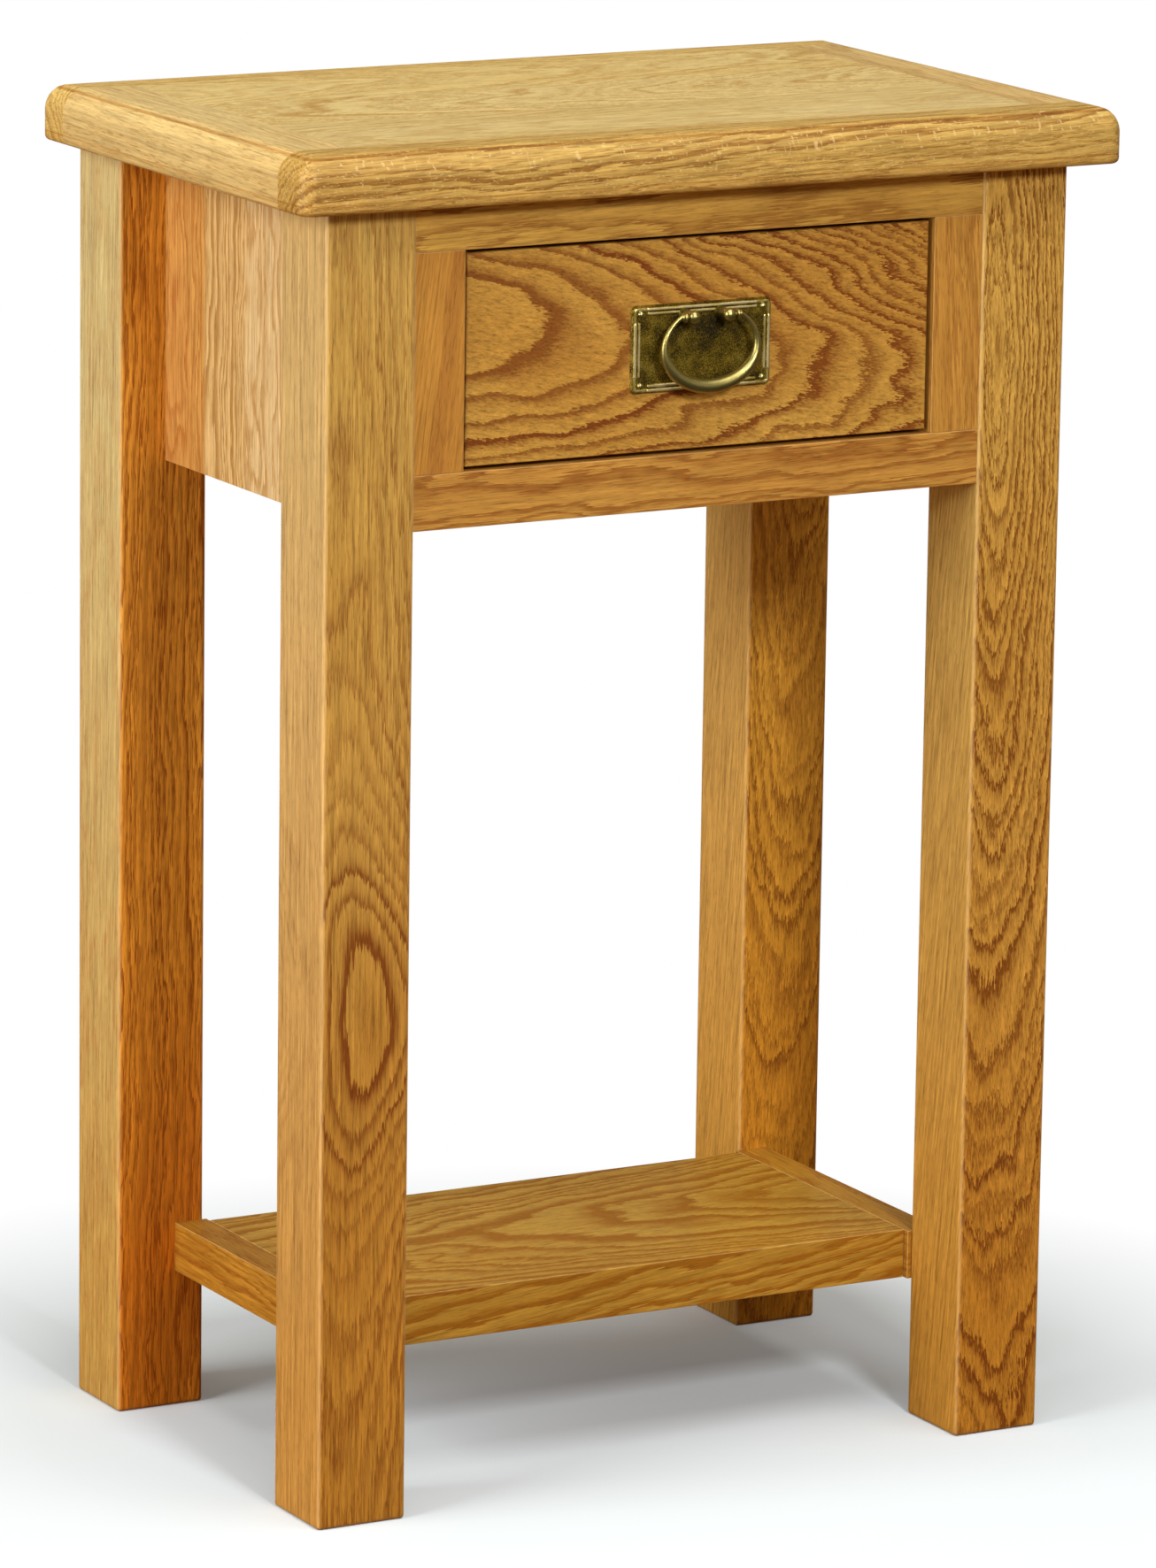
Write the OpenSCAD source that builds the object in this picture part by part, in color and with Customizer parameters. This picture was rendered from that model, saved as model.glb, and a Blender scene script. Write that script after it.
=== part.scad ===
// Oak side table with one drawer, an open shelf and a drop handle.
// Millimetres. +Z is up, +X is the table's right and the drawer opens towards -Y.
// The origin is on the floor under the middle of the top, which is the widest piece.

/* [Table] */
// Height from the floor to the top surface
table_h = 750; // [700:1:800]
// Width of the top
top_w = 502; // [480:1:560]
// Depth of the top
top_d = 322; // [310:1:360]

/* [Top] */
// Thickness of the top
top_t = 31; // [26:1:36]
// Width of the strips along the top's two ends
end_lipping_w = 42; // [36:1:52]
// Width of the strips along the top's front and back
long_lipping_w = 30; // [24:1:50]
// How far the top stands out past the legs at the front
overhang_front = 20; // [16:1:24]
// How far the top stands out past the legs at each side
overhang_side = 24; // [20:1:34]
// Radius of the four corners seen from above
top_corner_r = 9; // [6:1:24]
// Radius of the soft upper edge
top_edge_r = 14; // [8:1:20]

/* [Legs] */
// Thickness of each square leg
leg_w = 53; // [50:1:58]

/* [Drawer case] */
// Height of the side panels, from the underside of the top
case_h = 175; // [165:1:190]
// Height of the rail over the drawer
top_rail_h = 26; // [22:1:30]
// Height of the rail under the drawer
bottom_rail_h = 30; // [26:1:34]
// Width of the two stiles beside the drawer
stile_w = 30; // [26:1:34]
// Thickness of the rails and stiles, front to back
rail_t = 24; // [22:1:28]
// How far the rails and stiles sit behind the front of the legs
rail_inset = 1.5; // [0.5:0.5:3]
// Thickness of the side and back panels
panel_t = 16; // [14:1:18]
// How far the side panels sit in from the outside of the legs
side_inset = 27.5; // [24:0.5:29]
// How far the back panel sits in from the back of the legs
back_inset = 6; // [3:1:10]

/* [Shelf] */
// Height from the floor to the shelf's surface
shelf_z = 107; // [90:1:140]
// Thickness of the shelf and of its end rails
shelf_t = 28; // [24:1:30]
// Width of the rail that carries each end of the shelf
shelf_rail_w = 20; // [18:1:24]
// How far the shelf's end rails sit in from the outside of the legs
shelf_rail_inset = 35; // [33:1:37]
// How far the shelf's long edges sit in from the ends of its rails
shelf_edge_inset = 4; // [2:1:8]

/* [Drawer] */
// Gap all round the drawer front
drawer_gap = 2.2; // [1.5:0.1:3]
// Thickness of the drawer front
drawer_front_t = 20; // [18:1:22]
// How far the drawer front sits behind the rails
drawer_front_inset = 2.5; // [0:0.5:4]
// Thickness of the drawer's sides and back
drawer_side_t = 12; // [10:1:14]
// Thickness of the drawer's bottom
drawer_bottom_t = 6; // [5:1:8]
// Depth of the drawer, front to back
drawer_d = 257; // [220:1:262]

/* [Handle] */
// Width of the back plate
plate_w = 86; // [80:1:92]
// Height of the back plate
plate_h = 48; // [44:1:52]
// Thickness of the back plate with its raised rim
plate_t = 2.5; // [2:0.1:3]
// Width of the drop ring, outside
ring_w = 61; // [58:1:64]
// Height of the drop ring's oval, outside
ring_h = 48; // [46:1:50]
// Thickness of the ring's wire
ring_wire = 5; // [4:0.2:5.4]
// Distance of each post from the middle of the plate
post_x = 10.9; // [10:0.1:12]
// How far the ring's pivot stands out from the plate
pivot_reach = 9.5; // [9:0.5:12]

/* [Hidden] */
$fn = 48;
cut = 1;                        // how far a cutter runs past the face that it opens

// the leg frame
frame_w = top_w - 2 * overhang_side;
frame_front = -top_d / 2 + overhang_front;
frame_back = top_d / 2;
underside_z = table_h - top_t;
leg_in_x = frame_w / 2 - leg_w;
leg_in_front = frame_front + leg_w;
leg_in_back = frame_back - leg_w;

// the drawer case
case_z = underside_z - case_h;
rail_front = frame_front + rail_inset;
rail_back = rail_front + rail_t;
opening_z0 = case_z + bottom_rail_h;
opening_z1 = underside_z - top_rail_h;
opening_x = leg_in_x - stile_w;
side_out_x = frame_w / 2 - side_inset;
side_in_x = side_out_x - panel_t;
back_out_y = frame_back - back_inset;
back_in_y = back_out_y - panel_t;
tongue_t = 10;
tongue_d = 10;
shoulder = 4;
tenon_t = 12;
tenon_d = 20;
stave_count = 4;
stave_w = (leg_in_back - leg_in_front) / stave_count;

// the drawer
front_y0 = rail_front + drawer_front_inset;
front_y1 = front_y0 + drawer_front_t;
front_x = opening_x - drawer_gap;
front_z0 = opening_z0 + drawer_gap;
front_z1 = opening_z1 - drawer_gap;
slide_gap = 0.4;
side_z0 = opening_z0 + slide_gap;
side_z1 = opening_z1 - 4.6;
drawer_in_x = front_x - drawer_side_t;
drawer_end_y = front_y0 + drawer_d;
drawer_back_y = drawer_end_y - drawer_side_t;
bottom_z = side_z0 + 10;
groove_d = 6;
lap = 6;
tail_count = 3;
tail_pitch = 34;
tail_root = 9;
tail_tip = 12;

// the runners, guides, kickers and stops
runner_h = 18;
guide_h = 20;
guide_x = front_x + 0.5;
slide_rest_x = drawer_in_x - 2;
stop_h = 16;

// the handle
plate_y = front_y0 - plate_t;
plate_z = (opening_z0 + opening_z1) / 2 - 1.5;
pivot_y = plate_y - pivot_reach;
pivot_z = plate_z + plate_h / 2 - 6.1;
pivot_r = 1.5;
pivot_clearance = 0.06;
post_r = 3.4;
ball_r = 3.6;
stud_r = 2;
stud_reach = 5.6;
washer_t = 1;
nut_t = 3.2;
pin_x = plate_w / 2 - 5.5;
pin_z = plate_h / 2 - 4.6;
pin_r = 0.8;
pin_l = 12;

// the ring's oval is four arcs: two small at its sides and a large one below
wire_r = ring_wire / 2;
oval_a = ring_w / 2 - wire_r;
oval_b = ring_h / 2 - wire_r;
arc_r = 18;
arc_x = oval_a - arc_r;
low_r = (arc_x * arc_x + oval_b * oval_b - arc_r * arc_r) / (2 * (oval_b - arc_r));
low_z = low_r - oval_b;
meet_angle = atan2(low_z, arc_x);
oval_drop = 16.5;
end_angle = asin(oval_drop / arc_r);
end_x = arc_x + arc_r * cos(end_angle);

// screws
screw_r = 2;
screw_head_r = 4;
screw_head_h = 2.4;
screw_points = [[front_x - 4, -60], [front_x - 4, 80]];

// ---------- shared shapes ----------

// a box given by its lowest and highest corners
module block(low, high) {
    translate(low) cube(high - low);
}

// the same child on the left (-1) or on the right (1)
module on_side(side) {
    mirror([side < 0 ? 1 : 0, 0, 0]) children();
}

// a countersunk wood screw, head at the origin, point along +Z
module wood_screw(length) {
    rotate_extrude() polygon([
        [0, 0], [screw_head_r, 0], [screw_head_r, 0.4], [screw_r, screw_head_h],
        [screw_r, length - 4], [0, length]
    ]);
}

// a cylinder along X or along Y, from its middle or its lower end
module rod_x(r, length) { rotate([0, 90, 0]) cylinder(r = r, h = length, center = true); }
module rod_y(r, length) { rotate([-90, 0, 0]) cylinder(r = r, h = length); }

// ---------- top ----------

// outline of the top's edge from the side: square below, round above
module edge_outline(width) {
    half = width / 2;
    translate([-half, 0]) square([width, top_t - top_edge_r]);
    translate([-half + top_edge_r, 0]) square([width - 2 * top_edge_r, top_t]);
    for (side = [-1, 1])
        translate([side * (half - top_edge_r), top_t - top_edge_r]) circle(top_edge_r);
}

module top_outline() {
    square([top_w - 2 * top_corner_r, top_d], center = true);
    square([top_w, top_d - 2 * top_corner_r], center = true);
    for (x = [-1, 1], y = [-1, 1])
        translate([x * (top_w / 2 - top_corner_r), y * (top_d / 2 - top_corner_r)])
            circle(top_corner_r);
}

// the whole top as one piece of wood, before it is divided into its boards
module top_blank() {
    translate([0, 0, underside_z]) intersection() {
        linear_extrude(top_t) top_outline();
        rotate([90, 0, 0]) linear_extrude(top_d + 2, center = true) edge_outline(top_w);
        rotate([90, 0, 90]) linear_extrude(top_w + 2, center = true) edge_outline(top_d);
    }
}

module top_board(x0, x1, y0, y1) {
    color("#D9B36C") difference() {
        intersection() {
            top_blank();
            block([x0, y0, underside_z - 1], [x1, y1, table_h + 1]);
        }
        top_screw_set();
    }
}

field_x = top_w / 2 - end_lipping_w;
field_y = top_d / 2 - long_lipping_w;
plank_w = 2 * field_y / 3;

module top_plank(index) {
    y0 = -field_y + index * plank_w;
    top_board(-field_x, field_x, y0, y0 + plank_w);
}

module top_lipping_long(side) {
    if (side < 0) top_board(-top_w / 2, top_w / 2, -top_d / 2, -field_y);
    else top_board(-top_w / 2, top_w / 2, field_y, top_d / 2);
}

module top_lipping_short(side) {
    on_side(side) top_board(field_x, top_w / 2, -field_y, field_y);
}

// four screws up through the kickers
module top_screw_set() {
    for (side = [-1, 1], p = screw_points)
        translate([side * (p[0] + 10), p[1], opening_z1]) wood_screw(top_rail_h + 20);
}

module top_screws() {
    color("#8C8F92") top_screw_set();
}

// ---------- legs ----------

module leg(side, back) {
    y0 = back ? leg_in_back : frame_front;
    y1 = back ? frame_back : leg_in_front;
    groove_y = back ? leg_in_back - cut : leg_in_front - tongue_d;
    groove_mid = (side_in_x + side_out_x) / 2;
    color("#CFA662") on_side(side) difference() {
        block([leg_in_x, y0, 0], [frame_w / 2, y1, underside_z]);
        // groove for the side panel
        block([groove_mid - tongue_t / 2, groove_y, case_z + shoulder],
              [groove_mid + tongue_t / 2, groove_y + tongue_d + cut, underside_z + cut]);
        // mortise for the shelf's end rail
        shelf_tenon(back, cut);
        if (back)
            block([leg_in_x - cut, back_in_y + 3, case_z + shoulder],
                  [leg_in_x + tongue_d, back_in_y + 3 + tongue_t, underside_z + cut]);
        else {
            rail_tenon(case_z, bottom_rail_h, cut);
            rail_tenon(opening_z1, top_rail_h, cut);
        }
    }
}

// tenon at the right end of a front rail, longer by extra where it cuts its mortise
module rail_tenon(z, h, extra = 0) {
    mid = (rail_front + rail_back) / 2;
    block([leg_in_x - extra, mid - tenon_t / 2, z + shoulder],
          [leg_in_x + tenon_d, mid + tenon_t / 2, z + h - shoulder]);
}

// tenon at the front or back end of a shelf rail
module shelf_tenon(back, extra = 0) {
    x1 = frame_w / 2 - shelf_rail_inset - shoulder;
    x0 = x1 - shelf_rail_w + 2 * shoulder;
    y0 = back ? leg_in_back - extra : leg_in_front - tenon_d;
    y1 = back ? leg_in_back + tenon_d : leg_in_front + extra;
    block([x0, y0, shelf_z - shelf_t + shoulder], [x1, y1, shelf_z - shoulder]);
}

// ---------- front frame ----------

module front_rail(z, h) {
    color("#CB9D55") difference() {
        union() {
            block([-leg_in_x, rail_front, z], [leg_in_x, rail_back, z + h]);
            for (side = [-1, 1]) on_side(side) rail_tenon(z, h);
        }
        stile_dowel_set();
    }
}

module stile(side) {
    color("#C9893F") on_side(side) difference() {
        block([opening_x, rail_front, opening_z0], [leg_in_x, rail_back, opening_z1]);
        stile_dowel_set();
    }
}

dowel_r = 4;
dowel_l = 30;

// one dowel at each end of each stile
module stile_dowel_set() {
    for (side = [-1, 1], z = [opening_z0, opening_z1])
        translate([side * (opening_x + leg_in_x) / 2, (rail_front + rail_back) / 2, z])
            cylinder(r = dowel_r, h = dowel_l, center = true);
}

module stile_dowels() {
    color("#D8BE8C") stile_dowel_set();
}

// ---------- side and back panels ----------

stave_colors = ["#D8AE74", "#D8AE74", "#C9A564", "#C07A34"];

// one of the upright staves of a side panel, counted from the front
module side_stave(side, index) {
    y0 = leg_in_front + index * stave_w;
    mid = (side_in_x + side_out_x) / 2;
    first = index == 0;
    last = index == stave_count - 1;
    tongue_y = first ? y0 - tongue_d : y0 + stave_w;
    color(stave_colors[index]) on_side(side) {
        block([side_in_x, y0, case_z], [side_out_x, y0 + stave_w, underside_z]);
        if (first || last)
            block([mid - tongue_t / 2, tongue_y, case_z + shoulder],
                  [mid + tongue_t / 2, tongue_y + tongue_d, underside_z]);
    }
}

module back_panel() {
    color("#B98A4A") {
        block([-leg_in_x, back_in_y, case_z], [leg_in_x, back_out_y, underside_z]);
        block([-leg_in_x - tongue_d, back_in_y + 3, case_z + shoulder],
              [leg_in_x + tongue_d, back_in_y + 3 + tongue_t, underside_z]);
    }
}

// ---------- drawer runners, guides, kickers and stops ----------

// carries the drawer's side, and is notched round the legs to reach the side panel
module runner(side) {
    color("#C6A76B") on_side(side) difference() {
        translate([0, 0, opening_z0 - runner_h]) linear_extrude(runner_h) polygon([
            [slide_rest_x, rail_back], [leg_in_x, rail_back],
            [leg_in_x, leg_in_front], [side_in_x, leg_in_front],
            [side_in_x, leg_in_back], [leg_in_x, leg_in_back],
            [leg_in_x, back_in_y], [slide_rest_x, back_in_y]
        ]);
        guide_screw_set();
    }
}

// keeps the drawer straight
module guide(side) {
    color("#C6A76B") on_side(side) difference() {
        block([guide_x, rail_back, opening_z0], [leg_in_x, back_in_y, opening_z0 + guide_h]);
        guide_screw_set();
    }
}

// two screws down through each guide into its runner
module guide_screw_set() {
    for (side = [-1, 1], y = [-70, 90])
        translate([side * (guide_x + leg_in_x) / 2, y, opening_z0 + guide_h])
            rotate([180, 0, 0]) wood_screw(guide_h + runner_h - 4);
}

module guide_screws() {
    color("#8C8F92") guide_screw_set();
}

// stops the drawer tipping, and holds the top down
module kicker(side) {
    color("#C6A76B") on_side(side) difference() {
        block([slide_rest_x, rail_back, opening_z1], [leg_in_x, back_in_y, underside_z]);
        top_screw_set();
    }
}

module drawer_stops() {
    color("#C6A76B") for (side = [-1, 1]) on_side(side)
        block([slide_rest_x, drawer_end_y + 0.5, opening_z0],
              [guide_x, back_in_y, opening_z0 + stop_h]);
}

// ---------- shelf ----------

shelf_x = frame_w / 2 - shelf_rail_inset - shelf_rail_w;
shelf_tongue_t = 10;

// tongue at the right end of the shelf board, housed in its rail
module shelf_tongue(extra = 0) {
    z = shelf_z - shelf_t / 2;
    y = leg_in_front + shelf_edge_inset + 6;
    block([shelf_x - extra, y, z - shelf_tongue_t / 2],
          [shelf_x + tongue_d, leg_in_back - shelf_edge_inset - 6, z + shelf_tongue_t / 2]);
}

module shelf_board() {
    color("#C08A3E") {
        block([-shelf_x, leg_in_front + shelf_edge_inset, shelf_z - shelf_t],
              [shelf_x, leg_in_back - shelf_edge_inset, shelf_z]);
        for (side = [-1, 1]) on_side(side) shelf_tongue();
    }
}

module shelf_rail(side) {
    color("#B5702F") on_side(side) {
        difference() {
            block([shelf_x, leg_in_front, shelf_z - shelf_t],
                  [shelf_x + shelf_rail_w, leg_in_back, shelf_z]);
            shelf_tongue(cut);
        }
        shelf_tenon(false);
        shelf_tenon(true);
    }
}

// ---------- drawer ----------

// a dovetail with a short neck behind it, wider at its tip, pointing along +X of the outline
module tail(length) {
    polygon([
        [-2, -tail_root], [0, -tail_root], [length, -tail_tip],
        [length, tail_tip], [0, tail_root], [-2, tail_root]
    ]);
}

// outline of a drawer side seen from the table's right: along the table's depth, then up
module drawer_side_outline() {
    translate([front_y1, side_z0]) square([drawer_back_y - front_y1, side_z1 - side_z0]);
    for (i = [0:tail_count - 1]) {
        z = side_z1 - tail_tip - 2.4 - i * tail_pitch;
        translate([front_y1, z]) rotate(180) tail(drawer_front_t - lap);
        translate([drawer_back_y, z]) tail(drawer_side_t);
    }
}

module drawer_side_blank(side) {
    on_side(side) translate([drawer_in_x, 0, 0])
        rotate([90, 0, 90]) linear_extrude(drawer_side_t) drawer_side_outline();
}

module drawer_side(side) {
    color("#D8C08C") difference() {
        drawer_side_blank(side);
        drawer_bottom_panel();
    }
}

// the bottom slides in from behind, under the drawer's back
module drawer_bottom_panel() {
    x = drawer_in_x + groove_d;
    block([-x, front_y1 - groove_d, bottom_z], [x, drawer_end_y, bottom_z + drawer_bottom_t]);
}

module drawer_front() {
    color("#C08A45") difference() {
        block([-front_x, front_y0, front_z0], [front_x, front_y1, front_z1]);
        drawer_side_blank(-1);
        drawer_side_blank(1);
        drawer_bottom_panel();
        for (side = [-1, 1])
            translate([side * post_x, front_y0 - cut, pivot_z]) rod_y(stud_r, drawer_front_t + 2 * cut);
        pin_set();
    }
}

module drawer_back() {
    color("#D8C08C") difference() {
        block([-front_x, drawer_back_y, bottom_z + drawer_bottom_t],
              [front_x, drawer_end_y, side_z1]);
        drawer_side_blank(-1);
        drawer_side_blank(1);
        bottom_screw_set();
    }
}

module drawer_bottom() {
    color("#DCC79A") difference() {
        drawer_bottom_panel();
        bottom_screw_set();
    }
}

// two screws up through the bottom into the drawer's back
module bottom_screw_set() {
    for (side = [-1, 1])
        translate([side * front_x / 2, drawer_back_y + drawer_side_t / 2, bottom_z])
            wood_screw(drawer_bottom_t + 18);
}

module drawer_bottom_screws() {
    color("#8C8F92") bottom_screw_set();
}

// ---------- handle ----------

rim_w = 3;
rim_t = 0.7;

module handle_plate() {
    half_w = plate_w / 2;
    half_h = plate_h / 2;
    corner_r = 2.5;
    color("#7A6A33") difference() {
        translate([0, front_y0, plate_z]) rotate([90, 0, 0]) {
            // the sheet, with rounded corners
            linear_extrude(plate_t - rim_t) {
                square([plate_w - 2 * corner_r, plate_h], center = true);
                square([plate_w, plate_h - 2 * corner_r], center = true);
                for (x = [-1, 1], y = [-1, 1])
                    translate([x * (half_w - corner_r), y * (half_h - corner_r)]) circle(corner_r);
            }
            // the raised rim, which stops short of the corners
            for (side = [-1, 1]) {
                translate([-half_w + 9, side * (half_h - 0.5 - rim_w / 2) - rim_w / 2, 0])
                    cube([plate_w - 18, rim_w, plate_t]);
                translate([side * (half_w - 0.5 - rim_w / 2) - rim_w / 2, -half_h + 9, 0])
                    cube([rim_w, plate_h - 18, plate_t]);
            }
        }
        // the hole for each post's stud, and the post's round seat, which cuts into the rim
        for (side = [-1, 1]) translate([side * post_x, plate_y - cut, pivot_z]) {
            rod_y(stud_r, plate_t + 2 * cut);
            rod_y(post_r, rim_t + cut);
        }
        pin_set();
    }
}

// a domed pin in each corner of the plate
module pin_set() {
    head_r = 1.7;
    head_y = front_y0 - plate_t + rim_t;
    for (x = [-pin_x, pin_x], z = [-pin_z, pin_z]) translate([x, head_y, plate_z + z]) {
        rod_y(pin_r, pin_l);
        intersection() {
            sphere(head_r);
            translate([-head_r, -head_r, -head_r]) cube([2 * head_r, head_r, 2 * head_r]);
        }
    }
}

module handle_plate_pins() {
    color("#9A8544") pin_set();
}

// a turned post with a drilled ball for the ring, and a threaded stud through the drawer front
module handle_post(side) {
    post_l = plate_y + rim_t - pivot_y;
    stud_l = front_y1 + stud_reach - pivot_y;
    color("#8C7A3C") translate([side * post_x, pivot_y, pivot_z]) difference() {
        rotate([-90, 0, 0]) rotate_extrude() intersection() {
            union() {
                circle(ball_r);
                translate([-post_r, 0]) square([2 * post_r, post_l]);
                translate([-stud_r, 0]) square([2 * stud_r, stud_l]);
            }
            translate([0, -ball_r - cut]) square([ball_r + cut, stud_l + ball_r + 2 * cut]);
        }
        rod_x(pivot_r + pivot_clearance, 4 * ball_r);
    }
}

module handle_washers() {
    color("#8C8F92") for (side = [-1, 1])
        translate([side * post_x, front_y1, pivot_z]) difference() {
            rod_y(5, washer_t);
            translate([0, -cut, 0]) rod_y(stud_r, washer_t + 2 * cut);
        }
}

module handle_nuts() {
    color("#8C8F92") for (side = [-1, 1])
        translate([side * post_x, front_y1 + washer_t, pivot_z]) difference() {
            rotate([-90, 0, 0]) cylinder(r = 4, h = nut_t, $fn = 6);
            translate([0, -cut, 0]) rod_y(stud_r, nut_t + 2 * cut);
        }
}

// part of a ring of wire in the XZ plane, from one angle to another, anticlockwise from +X
module wire_arc(r, from, to) {
    rotate([90, 0, 0]) rotate([0, 0, from]) rotate_extrude(angle = to - from)
        translate([r, 0]) circle(wire_r);
}

module handle_ring() {
    collar_r = 2.8;
    collar_t = 1.4;
    collar_x = post_x + ball_r + 0.5 + collar_t / 2;
    pin_end = post_x - ball_r;
    bead_r = wire_r + 0.05;     // a bead of metal where one arc runs into the next
    color("#8A7838") translate([0, pivot_y, pivot_z]) {
        translate([0, 0, -oval_drop]) {
            for (side = [-1, 1]) on_side(side) translate([arc_x, 0, 0]) {
                wire_arc(arc_r, -meet_angle, end_angle);
                translate([arc_r * cos(meet_angle), 0, -arc_r * sin(meet_angle)]) sphere(bead_r);
            }
            translate([0, 0, low_z]) wire_arc(low_r, meet_angle - 180, -meet_angle);
        }
        for (side = [-1, 1]) {
            translate([side * end_x, 0, 0]) sphere(bead_r);
            translate([side * (end_x + pin_end) / 2, 0, 0]) rod_x(pivot_r, end_x - pin_end);
            translate([side * collar_x, 0, 0]) rod_x(collar_r, collar_t);
        }
    }
}

// ---------- the pieces ----------

leg(-1, false);  // leg_front_left
leg(1, false);  // leg_front_right
leg(-1, true);  // leg_back_left
leg(1, true);  // leg_back_right
top_plank(0);  // top_plank_front
top_plank(1);  // top_plank_middle
top_plank(2);  // top_plank_back
top_lipping_long(-1);  // top_lipping_front
top_lipping_long(1);  // top_lipping_back
top_lipping_short(-1);  // top_lipping_left
top_lipping_short(1);  // top_lipping_right
front_rail(opening_z1, top_rail_h);  // rail_over_drawer
front_rail(case_z, bottom_rail_h);  // rail_under_drawer
stile(-1);  // stile_left
stile(1);  // stile_right
stile_dowels();
side_stave(-1, 0);  // side_stave_left_front
side_stave(-1, 1);  // side_stave_left_mid_front
side_stave(-1, 2);  // side_stave_left_mid_back
side_stave(-1, 3);  // side_stave_left_back
side_stave(1, 0);  // side_stave_right_front
side_stave(1, 1);  // side_stave_right_mid_front
side_stave(1, 2);  // side_stave_right_mid_back
side_stave(1, 3);  // side_stave_right_back
back_panel();
runner(-1);  // runner_left
runner(1);  // runner_right
guide(-1);  // guide_left
guide(1);  // guide_right
guide_screws();
kicker(-1);  // kicker_left
kicker(1);  // kicker_right
top_screws();
drawer_stops();
shelf_board();
shelf_rail(-1);  // shelf_rail_left
shelf_rail(1);  // shelf_rail_right
drawer_front();
drawer_side(-1);  // drawer_side_left
drawer_side(1);  // drawer_side_right
drawer_back();
drawer_bottom();
drawer_bottom_screws();
handle_plate();
handle_plate_pins();
handle_post(-1);  // handle_post_left
handle_post(1);  // handle_post_right
handle_washers();
handle_nuts();
handle_ring();
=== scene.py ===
import math

import bmesh
import bpy
import numpy as np
from mathutils import Matrix, Vector


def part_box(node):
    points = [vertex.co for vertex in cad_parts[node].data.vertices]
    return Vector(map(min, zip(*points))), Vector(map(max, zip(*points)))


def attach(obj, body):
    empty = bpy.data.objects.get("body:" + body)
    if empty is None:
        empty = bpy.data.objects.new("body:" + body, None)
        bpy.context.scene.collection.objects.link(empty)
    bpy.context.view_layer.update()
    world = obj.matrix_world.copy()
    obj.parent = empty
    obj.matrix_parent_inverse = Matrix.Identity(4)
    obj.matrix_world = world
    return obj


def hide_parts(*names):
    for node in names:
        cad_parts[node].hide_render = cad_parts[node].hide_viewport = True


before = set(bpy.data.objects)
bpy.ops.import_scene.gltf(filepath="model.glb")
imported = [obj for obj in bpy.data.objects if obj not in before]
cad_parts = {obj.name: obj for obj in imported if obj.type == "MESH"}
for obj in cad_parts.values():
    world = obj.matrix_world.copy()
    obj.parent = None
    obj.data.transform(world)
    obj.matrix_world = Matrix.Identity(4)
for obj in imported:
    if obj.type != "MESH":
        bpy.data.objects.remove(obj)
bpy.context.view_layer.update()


# ---------------------------------------------------------------------------------------------
# The top: three planks framed by lippings, glued up, sanded flush, then rounded over as one.
# Long lippings cover the ends of the short ones, so end grain shows at the front and back corners.
# Every board in this file is a box of grid lines whose points are drawn in to round its edges.
# ---------------------------------------------------------------------------------------------

MM = 0.001


def rgb(code):
    """An sRGB hex colour as linear RGBA: c / 12.92 in the darkest part, and above it
    ((c + 0.055) / 1.055) ^ 2.4."""
    c = np.array([int(code[i:i + 2], 16) for i in (1, 3, 5)]) / 255
    return (*np.where(c < 0.04045, c / 12.92, ((c + 0.055) / 1.055) ** 2.4), 1.0)


def add(tree, kind, inputs=None, out=0, stops=(), **settings):
    """Adds one shader node and returns one of its outputs. inputs are values, or sockets to link, by
    name or place, and settings are its properties. stops are a colour ramp's (place, colour) pairs,
    with colours as hex codes or as greys from 0 to 1."""
    new = tree.nodes.new("ShaderNode" + kind)
    for name, value in settings.items():
        setattr(new, name, value)
    for key, value in (inputs or {}).items():
        if isinstance(value, bpy.types.NodeSocket):
            tree.links.new(value, new.inputs[key])
        else:
            new.inputs[key].default_value = value
    if stops:
        points = new.color_ramp.elements
        while len(points) < len(stops):
            points.new(0.5)
        for point, (place, colour) in zip(points, stops):
            point.position = place
            point.color = rgb(colour) if isinstance(colour, str) else (colour, colour, colour, 1)
    return new.outputs[out] if new.outputs else None


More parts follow.
